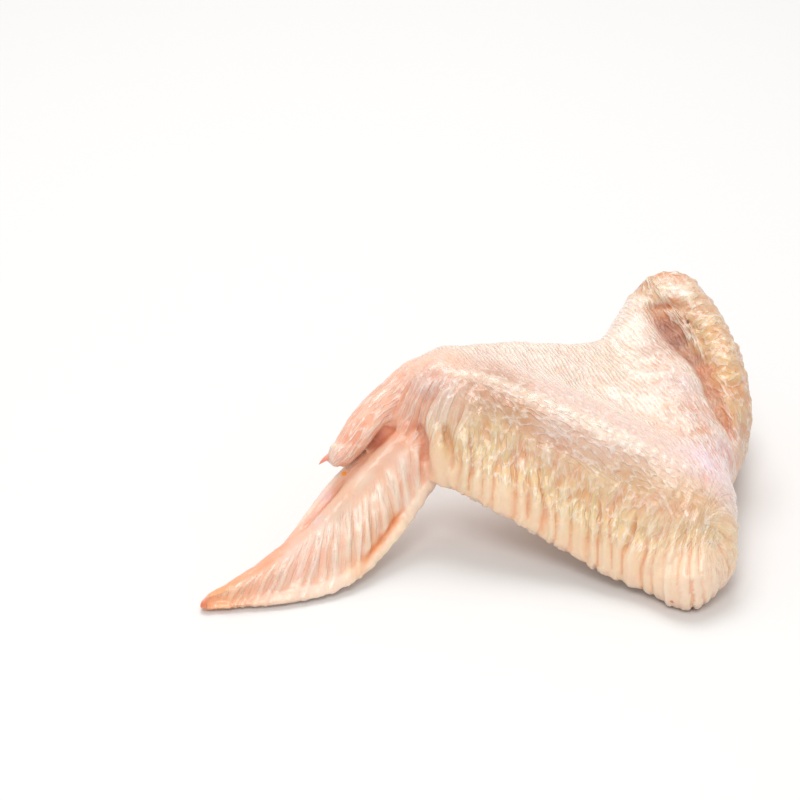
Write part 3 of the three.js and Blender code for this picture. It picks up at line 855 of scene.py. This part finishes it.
def skinColour(n, skin, grain, mottle, fine):
    height = n.attribute("relief")
    low = height + skin.crease.largest(0.0) + skin.web * 0.3 + skin.drum * 0.15
    calm = skin.crease.ramp(0.4, 1.2, 1.0, 0.3)
    layers = [
        (low.ramp(0.4, -0.2) * 0.75, (250, 205, 178), "MULTIPLY"),      # painted shade in the hollows, warm
        (height.ramp(0.5, 1.2) * calm * 0.5, (252, 240, 222), "MIX"),   # painted highlight on the raised tops
        # painted shade in the creases
        (skin.crease.ramp(0.3, 1.0) * 0.5, (236, 184, 164), "MULTIPLY"),
        (mottle.ramp(0.5, 0.72) * 0.25, (240, 188, 172), "MIX"),        # pink patches
        (grain.ramp(0.1, 0.9) * calm * 0.5, (253, 244, 236), "MIX"),    # painted highlight on the fine wrinkles' tops, in place of wet glints
        (grain.ramp(-0.1, -0.8) * 0.5, (246, 214, 190), "MULTIPLY"),    # and painted shade between them
        (fine.ramp(0.35, 0.2) * 0.35, (236, 200, 178), "MULTIPLY"),     # pores
    ]
    for spot, reach, tone, strength in specks:
        share = n.near(skin.place, spot, reach + speckRim, reach - speckRim) * strength
        layers.append((share, tone, "MIX"))
    colour = n.node("ShaderNodeAttribute", {"attribute_name": "tint"}, out="Color")
    for share, tone, blend in layers:
        colour = n.mix(share, colour, solid(*tone), blend)
    return colour


def skinMaterial():
    material, n = blank("moistSkin")
    skin = SkinPlaces(n, n.node("ShaderNodeTexCoord", out="Object"))
    mottle = n.noise(skin.place, 0.22, 3.0, 0.55)
    veins = n.noise(skin.place, 0.7, 3.0, 0.6)
    fine = n.noise(skin.place, 2.6, 3.0, 0.6)
    grain = skinGrain(n, skin, mottle, veins)
    wrinkled = n.node("ShaderNodeBump", None, {
        "Strength": skinLook["wrinkles"], "Distance": skinLook["grain"], "Height": grain})
    pored = n.node("ShaderNodeBump", None, {
        "Strength": skinLook["pores"], "Distance": skinLook["grain"], "Height": fine, "Normal": wrinkled})
    # wet in patches, less so in creases, on the hidden side and on the upper arm
    wet = mottle.ramp(0.3, 0.6, 0.6, 1.0) * (skin.outer * 0.3 + 0.7)
    wet = wet * skin.crease.ramp(0.3, 1.2, 1.0, 0.25) * (1.0 - skin.drum * skinLook["dullArm"])
    n.surface({
        "Base Color": skinColour(n, skin, grain, mottle, fine),
        "Roughness": fine.ramp(0.3, 0.7, skinLook["roughness"] - 0.06, skinLook["roughness"] + 0.1),
        "IOR": skinLook["bending"],
        "Subsurface Weight": skinLook["soft"],
        "Subsurface Radius": skinLook["softShares"],
        "Subsurface Scale": skinLook["softReach"],
        "Coat Weight": wet * skinLook["gloss"],
        "Coat Roughness": skinLook["glossRoughness"],
        "Normal": pored,
    })
    return material


def dressSkin():
    material = skinMaterial()
    group = reliefTree(material)
    modifier = skin.modifiers.new("relief", "NODES")
    modifier.node_group = group
    for socket in group.interface.items_tree:
        if socket.in_out == "INPUT" and socket.name in relief:
            modifier[socket.identifier] = relief[socket.name]
    plain(skin)
    low, high = np.array(cadLow) + base["margin"] * mm, np.array(cadHigh) - base["margin"] * mm
    setPoints(skin.data, np.clip(pointsOf(skin.data), low, high))
    skin.data.polygons.foreach_set("use_smooth", np.ones(len(skin.data.polygons), bool))
    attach(skin, "root")
    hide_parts("wing")


dressSkin()
print("skin dressed", len(skin.data.polygons), "faces")


# the thumb's claw

claw = {
    "root": (-38.7, -20.9, 27.0),
    "bend": (-40.8, -21.3, 26.0),
    "tip": (-42.2, -21.6, 24.4),
    "thick": 0.8,               # mm, at the root
    "flat": 0.75,               # its height as a share of its width
    "rings": 14,
    "around": 16,
    "colour": (246, 172, 148),
    "tipColour": (234, 138, 110),
    "mottle": (246, 176, 150),
    "roughness": 0.35,
    "soft": 0.3,
    "softShares": (1.0, 0.4, 0.25),
    "softReach": 0.001,         # m
    "gloss": 0.6,
    "glossRoughness": 0.15,
    "pores": 0.3,
    "grain": 0.0003,            # m, the pores' depth
}


def clawMesh():
    rings, around = claw["rings"], claw["around"]
    a, b, c = (np.array(claw[key]) for key in ("root", "bend", "tip"))
    side = np.cross(c - a, faceUp)
    side /= np.linalg.norm(side)
    up = np.cross(side, c - a)
    up /= np.linalg.norm(up)
    verts, faces, shares = [], [], []
    for i in range(rings):
        t = i / rings
        middle = a * (1 - t) ** 2 + b * 2 * t * (1 - t) + c * t * t
        thick = claw["thick"] * (1 - t**1.6) ** 0.8
        for j in range(around):
            turn = 2 * math.pi * j / around
            out = side * math.cos(turn) + up * claw["flat"] * math.sin(turn)
            verts.append((middle + thick * out) * mm)
            shares.append(t)
    verts += [c * mm, a * mm]
    shares += [1, 0]
    for i in range(rings - 1):
        for j in range(around):
            k = (j + 1) % around
            faces.append((i * around + j, i * around + k, (i + 1) * around + k, (i + 1) * around + j))
    last = (rings - 1) * around
    faces += [(last + j, last + (j + 1) % around, len(verts) - 2) for j in range(around)]
    faces += [((j + 1) % around, j, len(verts) - 1) for j in range(around)]
    mesh = bpy.data.meshes.new("claw")
    mesh.from_pydata([tuple(v) for v in verts], [], faces)
    work = bmesh.new()
    work.from_mesh(mesh)
    bmesh.ops.recalc_face_normals(work, faces=work.faces)
    work.to_mesh(mesh)
    work.free()
    mesh.polygons.foreach_set("use_smooth", np.ones(len(mesh.polygons), bool))
    store(mesh, "share", np.array(shares, float))
    return mesh


def clawMaterial():
    material, n = blank("hornyClaw")
    fine = n.noise(n.scaled(n.node("ShaderNodeTexCoord", out="Object"), 1 / mm), 3.0, 3.0, 0.6)
    colour = n.mix(n.attribute("share"), solid(*claw["colour"]), solid(*claw["tipColour"]))
    colour = n.mix(fine.ramp(0.5, 0.7) * 0.4, colour, solid(*claw["mottle"]))
    pored = n.node("ShaderNodeBump", None, {
        "Strength": claw["pores"], "Distance": claw["grain"], "Height": fine})
    n.surface({
        "Base Color": colour,
        "Roughness": claw["roughness"],
        "Subsurface Weight": claw["soft"],
        "Subsurface Radius": claw["softShares"],
        "Subsurface Scale": claw["softReach"],
        "Coat Weight": claw["gloss"],
        "Coat Roughness": claw["glossRoughness"],
        "Normal": pored,
    })
    return material


def makeClaw():
    mesh = clawMesh()
    mesh.materials.append(clawMaterial())
    piece = add("claw", mesh)
    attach(piece, "root")


makeClaw()
print("claw made")


# table, light and camera

stage = {       # m
    "reach": 3.0,
    "below": 0.0002,
    "colour": (228, 227, 226),
    "roughness": 0.55,
    "sky": 0.65,
    "skyColour": (1, 0.995, 0.985, 1),
    "keyLight": {"place": (-0.06, 0.42, 0.96), "target": (0, 0, 0), "size": 0.65, "power": 5.6},
    "frontLight": {"place": (-0.07, -0.52, 0.8), "target": (0, 0, 0.02), "size": 0.4, "power": 2.7},
}
view = {"place": (-0.02194, -0.4927, 0.315), "down": 30, "lens": 100, "film": 36}      # m, degrees, mm


def softBox(name):
    data = bpy.data.lights.new(name, "AREA")
    data.shape = "DISK"
    data.size = stage[name]["size"]
    data.energy = stage[name]["power"]
    light = bpy.data.objects.new(name, data)
    bpy.context.scene.collection.objects.link(light)
    place, target = Vector(stage[name]["place"]), Vector(stage[name]["target"])
    light.location = place
    light.rotation_euler = (target - place).to_track_quat("-Z", "Y").to_euler()


def layTable():
    r, z = stage["reach"], -stage["below"]
    mesh = bpy.data.meshes.new("table")
    mesh.from_pydata([(-r, -r, z), (r, -r, z), (r, r, z), (-r, r, z)], [], [(0, 1, 2, 3)])
    material, n = blank("paleTable")
    n.surface({"Base Color": solid(*stage["colour"]), "Roughness": stage["roughness"]})
    mesh.materials.append(material)
    add("table", mesh)


def setCamera():
    data = bpy.data.cameras.new("photoView")
    data.lens = view["lens"]
    data.sensor_width = view["film"]
    camera = bpy.data.objects.new("photoView", data)
    bpy.context.scene.collection.objects.link(camera)
    down = math.radians(view["down"])
    camera.location = view["place"]
    camera.rotation_euler = Vector((0, math.cos(down), -math.sin(down))).to_track_quat("-Z", "Y").to_euler()
    bpy.context.scene.camera = camera
    bpy.context.scene.view_settings.view_transform = "Standard"


def setStage():
    layTable()
    world = bpy.data.worlds.new("studio")
    world.use_nodes = True
    sky = world.node_tree.nodes["Background"]
    sky.inputs["Color"].default_value = stage["skyColour"]
    sky.inputs["Strength"].default_value = stage["sky"]
    bpy.context.scene.world = world
    softBox("keyLight")
    softBox("frontLight")
    setCamera()


setStage()
print("stage set")
